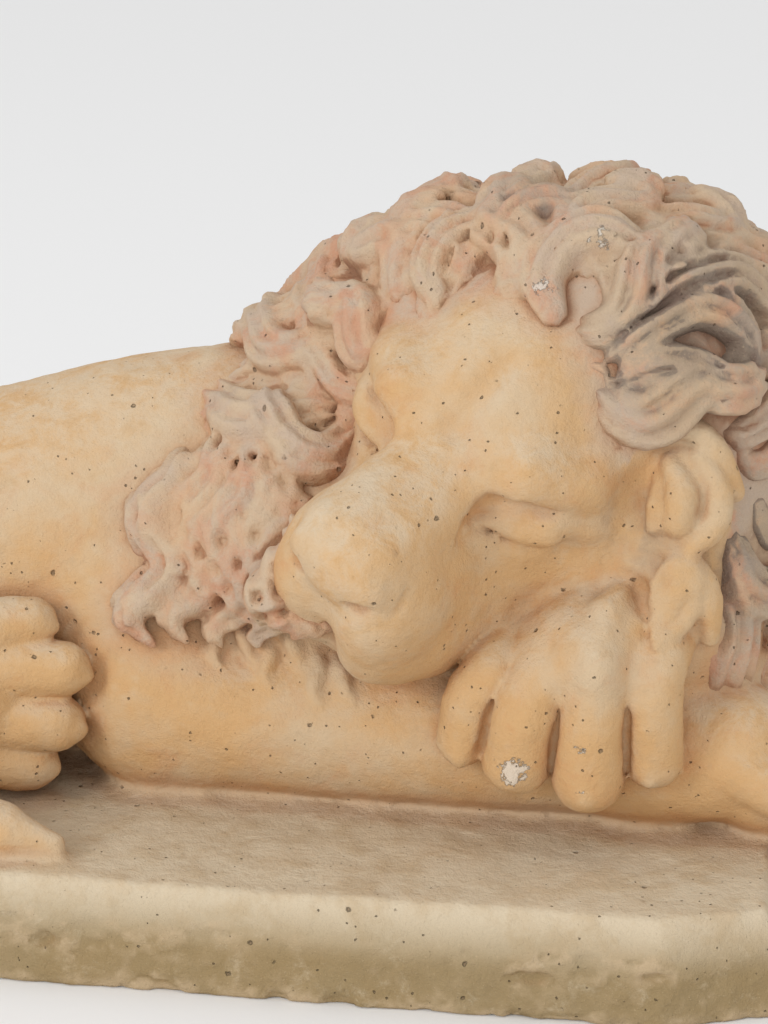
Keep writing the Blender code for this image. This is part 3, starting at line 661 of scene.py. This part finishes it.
# %% Swells and bites
def swells(clay, spacing, chance):
    """Smooth random numbers between about -1 and 1, one for each grid point."""
    stride = spacing / clay.step
    counts = np.ceil(clay.size / stride).astype(int) + 2
    field = chance.uniform(-1, 1, counts).astype(np.float32)
    for axis in range(3):
        where = np.arange(clay.size[axis]) / stride
        first = where.astype(int)
        share = (where - first).astype(np.float32)
        share = share * share * (3 - 2 * share)
        shape = [1, 1, 1]
        shape[axis] = -1
        share = share.reshape(shape)
        field = np.take(field, first, axis) * (1 - share) + np.take(field, first + 1, axis) * share
    return field


chance = np.random.default_rng(31)
for clay in (lion, mane):
    for spacing, depth in ((38.0, 1.0), (13.0, 0.6), (5.0, 0.4)):
        clay.distance += depth * swells(clay, spacing, chance)
BITES = 170
LONG_SIDE_SHARE = 0.72  # how many of the bites are on the plinth's two long sides
for _ in range(BITES):
    if chance.random() < LONG_SIDE_SHARE:
        x = chance.uniform(-PLINTH_HALF_LENGTH, PLINTH_HALF_LENGTH)
        y = chance.choice([-1, 1]) * PLINTH_HALF_DEPTH
    else:
        x = chance.choice([-1, 1]) * PLINTH_HALF_LENGTH
        y = chance.uniform(-PLINTH_HALF_DEPTH, PLINTH_HALF_DEPTH)
    z = chance.choice([-BAND_HEIGHT, -PLINTH_HEIGHT + 2, chance.uniform(-50, -20)])
    size = chance.uniform(1.5, 5.0)
    lion.mass((x, y, z), (size * chance.uniform(1, 3), size * 0.7, size * 0.8), blend=2, cut=True)
below_band = np.clip((-BAND_HEIGHT - lion.lines[2]) / 3, 0, 1)[None, None, :]
for spacing, depth in ((9.0, 0.6), (4.5, 0.9)):
    lion.distance += depth * below_band * swells(lion, spacing, chance)
flat = -PLINTH_HEIGHT - lion.lines[2][None, None, :]
lion.distance = np.maximum(lion.distance, flat)
print("bites:", BITES)

# %% [markdown]
# ## From numbers to mesh
# The surface is where the distance is nought. A meshing tool walks the grid and lays faces
# there. That gives far more faces than the smooth parts need, so Decimate thins them out and
# leaves them where the form turns sharply.

# %% Mesh both pieces
MOST_TRIANGLES = 192_000


def to_piece(clay, name):
    """The clay's surface as a mesh object in metres, thinned to the limit."""
    grid = openvdb.FloatGrid(FAR)
    grid.copyFromArray(np.ascontiguousarray(clay.distance))
    points, quads = grid.convertToQuads(isovalue=0.0)
    points = ((points * clay.step + clay.low) + (0, 0, PLINTH_HEIGHT)) * UNIT
    mesh = bpy.data.meshes.new(name)
    mesh.from_pydata(points.tolist(), [], quads.tolist())
    mesh.shade_smooth()
    piece = bpy.data.objects.new(name, mesh)
    bpy.context.scene.collection.objects.link(piece)
    triangles = 2 * len(quads)
    if triangles > MOST_TRIANGLES:
        thin = piece.modifiers.new("thin out", "DECIMATE")
        thin.ratio = MOST_TRIANGLES / triangles
        done = piece.evaluated_get(bpy.context.evaluated_depsgraph_get())
        piece.data = bpy.data.meshes.new_from_object(done)
        piece.modifiers.clear()
        piece.data.name = name
        bpy.data.meshes.remove(mesh)
    piece.data.shade_smooth()
    print(name, f"{triangles:,}", "triangles thinned to", f"{len(piece.data.polygons):,}")
    return piece


body_piece = to_piece(lion, "lion_and_plinth")
mane_piece = to_piece(mane, "mane_locks")

# %% [markdown]
# ## Where dirt gathers, where rain washes, and where shade is painted
# On the real stone the colour follows the form: orange in the hollows, pale on the ridges, pink
# and grey on the mane, soot on the locks that rain never reached. The same masks also paint
# light and shade into the colour: the dark brown in deep hollows is painted shade, the orange in
# hollows and the soot on the side away from the light are partly painted shade, and the pale on
# ridges and upward faces is partly painted highlight. The clay knows all this. From each vertex
# a few steps are taken outwards: if the clay is nearer than the step is long, the place is a
# hollow. Steps inwards find thin ridges the same way.

# %% Masks at each vertex
def soft_step(value, start, end):
    share = np.clip((value - start) / (end - start), 0, 1)
    return share * share * (3 - 2 * share)


def clay_distance(places):
    return np.minimum(lion.read(places), mane.read(places))


def add_mask(piece, name, values):
    layer = piece.data.attributes.new(name, "FLOAT", "POINT")
    layer.data.foreach_set("value", np.clip(values, 0, 1).astype(np.float32))


# Grey soot on the upper right locks, and painted shade on the right side and in the groove by the ear, away from the
# light.
SOOT_AND_SHADE_PLACES = [  # centre, reach
    ((352, -30, 268), 50), ((330, -48, 250), 30), ((318, -64, 165), 22),
    ((300, -66, 128), 16), ((372, -30, 150), 46), ((262, 10, 322), 24)]
# Paler at the nose, near the brow and on the bridge: partly wear, partly painted highlight.
WEAR_AND_HIGHLIGHT_PLACES = [((-6, 142, 18), 30), ((-42, 34, 42), 24), ((0, 96, 44), 26)]  # nose, near brow, bridge
for piece, hair in ((body_piece, 0.0), (mane_piece, 1.0)):
    count = len(piece.data.vertices)
    places, normals = np.empty(count * 3, np.float32), np.empty(count * 3, np.float32)
    piece.data.vertices.foreach_get("co", places)
    piece.data.vertices.foreach_get("normal", normals)
    places = places.reshape(-1, 3) / UNIT - (0, 0, PLINTH_HEIGHT)
    normals = normals.reshape(-1, 3)
    # hollow: how shut in each place is; the material paints orange dirt and painted shade by it
    hollow = sum(np.clip(1 - clay_distance(places + normals * d) / d, 0, 1) for d in (4, 8, 14, 22)) / 4
    # ridge: how thin the clay is below each place, for pale wear that is partly painted highlight
    ridge = sum(np.clip(1 + clay_distance(places - normals * d) / d, 0, 1) for d in (4, 8)) / 2
    soot_and_shade_mask = sum(np.exp(-np.sum((places - c) ** 2, axis=1) / (2 * (r * 0.6) ** 2)) for c, r in SOOT_AND_SHADE_PLACES)
    on_core = soft_step(-mane_distance(places), -6, 1)
    core = soft_step(-mane.read(places), -15, -5) * grows_hair(places) * (0.3 + 0.7 * on_core)
    add_mask(piece, "hollow", soft_step(hollow, 0.12 + 0.08 * (1 - hair), 0.64))
    add_mask(piece, "ridge", soft_step(ridge, 0.03, 0.35))
    add_mask(piece, "soot_and_shade_mask", soot_and_shade_mask * (0.35 + 0.65 * hair))
    add_mask(piece, "hair", np.maximum(hair, core))
    add_mask(piece, "slab", soft_step(-places[:, 2], -10, 2))
    # top: paler on faces that look upward and at the nose, brow and bridge, partly dust, partly painted light from
    # above.
    worn_and_highlit = sum(np.exp(-np.sum((places - from_head(c)) ** 2, axis=1) / r ** 2) for c, r in WEAR_AND_HIGHLIGHT_PLACES)
    add_mask(piece, "top", soft_step(normals[:, 2], 0.2, 0.95) + worn_and_highlit)
    print(piece.name, "hollows", round(float(hollow.mean()), 2), "ridges", round(float(ridge.mean()), 2))

# %% [markdown]
# ## Pinholes and grain
# Cast stone is sand and cement: its skin has fine grain, and small air bubbles left pinholes.
# Both belong to every part of the casting, so they are one node group with named sockets.
# Voronoi cells scatter the holes: each cell has one, and the cell's own random number decides
# how large it is, so that most cells stay empty.

# %% The pinhole and grain group
def new_group(name, inputs, outputs):
    """An empty node group with named sockets."""
    group = bpy.data.node_groups.new(name, "ShaderNodeTree")
    for label, kind, value in inputs:
        socket = group.interface.new_socket(label, in_out="INPUT", socket_type=kind)
        if value is not None:
            socket.default_value = value
    for label, kind in outputs:
        group.interface.new_socket(label, in_out="OUTPUT", socket_type=kind)
    return group


def node(tree, kind, settings=None, **links):
    """A node with its settings, whose named or numbered inputs are values or other nodes' outputs."""
    made = tree.nodes.new(kind)
    for key, value in (settings or {}).items():
        setattr(made, key, value)
    for key, value in links.items():
        socket = made.inputs[int(key[1:])] if key[1:].isdigit() else made.inputs[key.replace("_", " ")]
        if isinstance(value, bpy.types.NodeSocket):
            tree.links.new(value, socket)
        else:
            socket.default_value = value
    return made


def ramp(tree, value, start, end):
    """A value between start and end as 0 to 1, with soft ends."""
    return node(tree, "ShaderNodeMapRange", {"interpolation_type": "SMOOTHSTEP"},
                Value=value, From_Min=start, From_Max=end).outputs[0]


def combine(tree, operation, first, second):
    return node(tree, "ShaderNodeMath", {"operation": operation}, i0=first, i1=second).outputs[0]


def product(tree, first, second):
    return combine(tree, "MULTIPLY", first, second)


def noise(tree, place, scale, detail, roughness, distortion=0.0):
    """Smooth random values round a half, with finer ones added as the detail grows."""
    return node(tree, "ShaderNodeTexNoise", Vector=place, Scale=scale, Detail=detail,
                Roughness=roughness, Distortion=distortion).outputs[0]


SKIN = new_group("Stone skin", [("Hole Spacing", "NodeSocketFloat", 0.011), ("Roughness", "NodeSocketFloat", 1.0)],
                 [("Holes", "NodeSocketFloat"), ("Height", "NodeSocketFloat"), ("Mottle", "NodeSocketFloat"),
                  ("Speckle", "NodeSocketFloat")])
enter, leave = node(SKIN, "NodeGroupInput"), node(SKIN, "NodeGroupOutput")
place = node(SKIN, "ShaderNodeTexCoord").outputs["Object"]
waver = node(SKIN, "ShaderNodeTexNoise", Vector=place, Scale=420.0, Detail=2.0).outputs["Color"]
waver = node(SKIN, "ShaderNodeVectorMath", {"operation": "SCALE"}, i0=waver, i3=0.0022).outputs[0]
wavy_place = node(SKIN, "ShaderNodeVectorMath", {"operation": "ADD"}, i0=place, i1=waver).outputs[0]
holes = None
for size_share, threshold in ((1.0, 0.12), (0.40, 0.15)):
    spacing = product(SKIN, enter.outputs["Hole Spacing"], size_share)
    cells = node(SKIN, "ShaderNodeTexVoronoi", {"feature": "F1"}, Vector=wavy_place,
                 Scale=combine(SKIN, "DIVIDE", 1.0, spacing))
    luck = node(SKIN, "ShaderNodeSeparateColor", Color=cells.outputs["Color"]).outputs[0]
    size = product(SKIN, ramp(SKIN, luck, 0.45, 1.0), threshold)
    depth = node(SKIN, "ShaderNodeMapRange", {"interpolation_type": "SMOOTHSTEP"}, Value=cells.outputs["Distance"],
                 From_Min=product(SKIN, size, 0.3), From_Max=combine(SKIN, "ADD", size, 0.02),
                 To_Min=1.0, To_Max=0.0).outputs[0]
    depth = product(SKIN, depth, ramp(SKIN, luck, 0.5, 0.6))
    holes = depth if holes is None else combine(SKIN, "MAXIMUM", holes, depth)
grain = noise(SKIN, place, 900.0, 3.0, 0.6)
lumps = noise(SKIN, place, 210.0, 4.0, 0.65)
mottle = noise(SKIN, place, 38.0, 6.0, 0.62)
height = combine(SKIN, "ADD", product(SKIN, grain, 0.35), lumps)
height = product(SKIN, height, enter.outputs["Roughness"])
height = combine(SKIN, "SUBTRACT", height, product(SKIN, holes, 1.8))
for label, value in (("Holes", holes), ("Height", height), ("Mottle", mottle), ("Speckle", grain)):
    SKIN.links.new(value, leave.inputs[label])
print("stone skin nodes:", len(SKIN.nodes))

# %% [markdown]
# ## The stone's colour
# All the stone is one batch, so it is one material recipe, used once for the smooth lion and
# plinth and once for the mane. It starts with ochre, and then each mask from the clay mixes in
# its own colour: pale on ridges and upward faces, partly wear and dust and partly painted
# highlight; orange in hollows, partly dirt and partly painted shade; dark brown painted shade in
# the deepest hollows; dull green-brown on the slab, darker towards its bottom; pink and grey on
# the hair; soot mixed with painted shade; and dark pinholes, which are painted shade.

# %% Colours and the material
OCHRE, PALE, ORANGE = (0.565, 0.345, 0.16), (0.56, 0.42, 0.27), (0.52, 0.225, 0.085)
PINK, ROSE_GREY, SOOT_AND_SHADE = (0.50, 0.27, 0.18), (0.47, 0.37, 0.29), (0.11, 0.105, 0.10)
PAINTED_SHADE_BROWN, SLAB_GREY, SLAB_BROWN = (0.27, 0.115, 0.055), (0.61, 0.515, 0.375), (0.53, 0.42, 0.28)
SLAB_LOW_DARK, CHIP_WHITE, PINHOLE_SHADE = (0.27, 0.195, 0.095), (0.66, 0.62, 0.55), (0.20, 0.135, 0.08)
PATCH_BROWN, DUST_AND_HIGHLIGHT = (0.38, 0.26, 0.15), (0.60, 0.50, 0.37)
CHIPS = [((266, -101, 50), 9), ((303, -98, 66), 9), ((271, -44, 289), 6), ((299, -28, 311), 7), ((196, -96, 178), 14),
         ((304, -100, 44), 5), ((-30, -80, 60), 5)]


def mixed(tree, first, second, share):
    """The second colour over the first, by share."""
    made = node(tree, "ShaderNodeMix", {"data_type": "RGBA"})
    for socket, value in ((made.inputs[0], share), (made.inputs[6], first), (made.inputs[7], second)):
        if isinstance(value, bpy.types.NodeSocket):
            tree.links.new(value, socket)
        elif isinstance(value, tuple):
            socket.default_value = (*value, 1)
        else:
            socket.default_value = value
    return made.outputs[2]


def stone(name, hole_spacing, skin_roughness, bump_depth):
    material = bpy.data.materials.new(name)
    material.use_nodes = True
    tree = material.node_tree
    shader = tree.nodes["Principled BSDF"]
    skin = node(tree, "ShaderNodeGroup", {"node_tree": SKIN}, Hole_Spacing=hole_spacing, Roughness=skin_roughness)
    mask = {key: node(tree, "ShaderNodeAttribute", {"attribute_name": key}).outputs["Fac"]
            for key in ("hollow", "ridge", "soot_and_shade_mask", "hair", "slab", "top")}
    place = node(tree, "ShaderNodeTexCoord").outputs["Object"]
    clouds = noise(tree, place, 11.0, 5.0, 0.6)
    patches = noise(tree, place, 26.0, 6.0, 0.7, 0.6)

    skin_colour = mixed(tree, OCHRE, PALE, ramp(tree, clouds, 0.42, 0.66))
    skin_colour = mixed(tree, skin_colour, ORANGE, product(tree, ramp(tree, patches, 0.50, 0.74), 0.35))
    blotches = noise(tree, place, 62.0, 8.0, 0.75, 0.4)
    blotched = product(tree, ramp(tree, blotches, 0.52, 0.74), 0.28)
    skin_colour = mixed(tree, skin_colour, PATCH_BROWN, blotched)
    # Paler on upward faces and at the nose, brow and bridge: partly dust, partly painted light from above.
    dusty_and_highlit = product(tree, mask["top"], ramp(tree, blotches, 0.66, 0.38))
    skin_colour = mixed(tree, skin_colour, DUST_AND_HIGHLIGHT, product(tree, dusty_and_highlit, 0.62))
    hair_colour = mixed(tree, PINK, ROSE_GREY, ramp(tree, patches, 0.38, 0.56))
    hair_colour = mixed(tree, hair_colour, OCHRE, product(tree, ramp(tree, clouds, 0.52, 0.66), 0.45))
    colour = mixed(tree, skin_colour, hair_colour, product(tree, mask["hair"], 0.85))
    slab_colour = mixed(tree, SLAB_GREY, SLAB_BROWN, ramp(tree, skin.outputs["Mottle"], 0.42, 0.66))
    # The slab's sides grow darker in patches towards the bottom.
    height_up = node(tree, "ShaderNodeSeparateXYZ", Vector=place).outputs["Z"]
    side_face = ramp(tree, height_up, (PLINTH_HEIGHT + 2) * UNIT, 22 * UNIT)
    darker_low = product(tree, side_face, ramp(tree, blotches, 0.12, 0.48))
    slab_colour = mixed(tree, slab_colour, SLAB_LOW_DARK, darker_low)
    colour = mixed(tree, colour, slab_colour, product(tree, mask["slab"], 0.92))
    # Orange in the hollows: partly dirt, partly painted shade.
    dirt_and_shade = product(tree, mask["hollow"], ramp(tree, skin.outputs["Mottle"], 0.15, 0.55))
    off_slab = combine(tree, "SUBTRACT", 1.0, product(tree, mask["slab"], 0.55))
    dirt_and_shade = product(tree, dirt_and_shade, off_slab)
    dirt_and_shade_share = combine(tree, "MAXIMUM", product(tree, mask["hair"], 0.55), 0.32)
    colour = mixed(tree, colour, ORANGE, product(tree, dirt_and_shade, dirt_and_shade_share))
    # Dark brown in the deepest hollows, strongest on the mane: painted shade.
    painted_shade_share = combine(tree, "MAXIMUM", mask["hair"], 0.22)
    painted_deep_shade = product(tree, ramp(tree, mask["hollow"], 0.6, 1.0), painted_shade_share)
    colour = mixed(tree, colour, PAINTED_SHADE_BROWN, product(tree, painted_deep_shade, 0.65))
    # Pale on ridges: partly wear, partly painted highlight.
    ridge_wear_and_highlight = product(tree, mask["ridge"], ramp(tree, skin.outputs["Mottle"], 0.35, 0.60))
    colour = mixed(tree, colour, PALE, product(tree, ridge_wear_and_highlight, 0.55))
    # Soot darkest in grooves and patches: partly real soot, partly painted shade.
    in_patches = product(tree, ramp(tree, patches, 0.34, 0.58), 0.6)
    in_grooves = combine(tree, "ADD", ramp(tree, mask["hollow"], 0.0, 0.5), in_patches)
    soot_and_shade_amount = combine(tree, "MINIMUM", product(tree, mask["soot_and_shade_mask"], in_grooves), 1.0)
    colour = mixed(tree, colour, SOOT_AND_SHADE, product(tree, soot_and_shade_amount, 0.66))
    fleck = ramp(tree, skin.outputs["Speckle"], 0.60, 0.72)
    colour = mixed(tree, colour, PALE, product(tree, fleck, 0.30))
    ragged = noise(tree, place, 170.0, 5.0, 0.7)
    ragged = product(tree, combine(tree, "SUBTRACT", ragged, 0.42), 0.026)
    chip_mask = None
    for centre, radius in CHIPS:
        spot = tuple((np.array(centre) + (0, 0, PLINTH_HEIGHT)) * UNIT)
        away = node(tree, "ShaderNodeVectorMath", {"operation": "DISTANCE"}, i0=place, i1=spot).outputs["Value"]
        near = ramp(tree, combine(tree, "ADD", away, ragged), radius * UNIT, radius * UNIT * 0.8)
        chip_mask = near if chip_mask is None else combine(tree, "MAXIMUM", chip_mask, near)
    colour = mixed(tree, colour, CHIP_WHITE, product(tree, chip_mask, 0.62))
    # The pinholes are painted dark: painted shade inside the holes.
    colour = mixed(tree, colour, PINHOLE_SHADE, product(tree, skin.outputs["Holes"], 0.7))
    tree.links.new(colour, shader.inputs["Base Color"])

    height = combine(tree, "SUBTRACT", skin.outputs["Height"], product(tree, chip_mask, 0.8))
    slab_relief = product(tree, skin.outputs["Mottle"], 2.5)
    height = combine(tree, "ADD", height, product(tree, mask["slab"], slab_relief))
    bump = node(tree, "ShaderNodeBump", Strength=1.0, Distance=bump_depth, Height=height)
    tree.links.new(bump.outputs[0], shader.inputs["Normal"])
    tree.links.new(combine(tree, "ADD", product(tree, clouds, 0.15), 0.80), shader.inputs["Roughness"])
    shader.inputs["Specular IOR Level"].default_value = 0.25
    print(name, "has", len(tree.nodes), "nodes")
    return material


for piece, material in ((body_piece, stone("weathered_cast_stone", 0.012, 1.0, 0.0012)),
                        (mane_piece, stone("weathered_mane_stone", 0.014, 1.2, 0.0013))):
    piece.data.materials.append(material)
    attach(piece, "root")
    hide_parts("lion_on_plinth")

# %% [markdown]
# ## Floor, light and camera
# The photograph has a white ground and soft light from large windows at the upper left. A wide
# pale floor, a bright sky and two large lamps give that. The camera looks at the head from
# slightly to its right and above, from 1.3 m away.

# %% Floor and light
FLOOR_WIDTH = 60.0
FLOOR_GREY, FLOOR_ROUGHNESS = 0.85, 0.9
SKY_STRENGTH = 0.88
WINDOWS = {  # place, width in metres, power in watts
    "window left": ((-2.6, -3.2, 2.0), 1.6, 66), "window front": ((0.8, -4.0, 1.1), 2.4, 28)}
LAMP_TARGET = (0.1, 0.0, 0.15)

floor_mesh = bpy.data.meshes.new("floor")
half = FLOOR_WIDTH / 2
floor_mesh.from_pydata([(-half, -half, 0), (half, -half, 0), (half, half, 0), (-half, half, 0)], [], [(0, 1, 2, 3)])
floor = bpy.data.objects.new("floor", floor_mesh)
bpy.context.scene.collection.objects.link(floor)
pale = bpy.data.materials.new("pale_ground")
pale.use_nodes = True
pale_shader = pale.node_tree.nodes["Principled BSDF"]
pale_shader.inputs["Base Color"].default_value = (FLOOR_GREY, FLOOR_GREY, FLOOR_GREY, 1)
pale_shader.inputs["Roughness"].default_value = FLOOR_ROUGHNESS
floor_mesh.materials.append(pale)

world = bpy.data.worlds.new("soft sky")
world.use_nodes = True
world.node_tree.nodes["Background"].inputs[0].default_value = (1.0, 1.0, 1.0, 1)
world.node_tree.nodes["Background"].inputs[1].default_value = SKY_STRENGTH
bpy.context.scene.world = world

for name, (place, width, power) in WINDOWS.items():
    lamp = bpy.data.lights.new(name, "AREA")
    lamp.size, lamp.energy = width, power
    holder = bpy.data.objects.new(name, lamp)
    holder.location = place
    holder.rotation_euler = (Vector(LAMP_TARGET) - Vector(place)).to_track_quat("-Z", "Y").to_euler()
    bpy.context.scene.collection.objects.link(holder)
bpy.context.scene.view_settings.view_transform = "Standard"

# %% Camera
VIEW_TURN, VIEW_RISE, VIEW_DISTANCE = math.radians(9), math.radians(17), 1.3
AIM = Vector((0.190, -0.040, 0.220))
FOCUS_PIXELS, LONG_SIDE_PIXELS, SENSOR = 2500, 1024, 36.0
back = Vector((math.sin(VIEW_TURN) * math.cos(VIEW_RISE),
               -math.cos(VIEW_TURN) * math.cos(VIEW_RISE), math.sin(VIEW_RISE)))
camera_data = bpy.data.cameras.new("camera")
camera_data.sensor_width = SENSOR
camera_data.lens = FOCUS_PIXELS * SENSOR / LONG_SIDE_PIXELS
camera = bpy.data.objects.new("camera", camera_data)
camera.location = AIM + back * VIEW_DISTANCE
camera.rotation_euler = back.to_track_quat("Z", "Y").to_euler()
bpy.context.scene.collection.objects.link(camera)
bpy.context.scene.camera = camera
print("lens", round(camera_data.lens, 1), "mm")
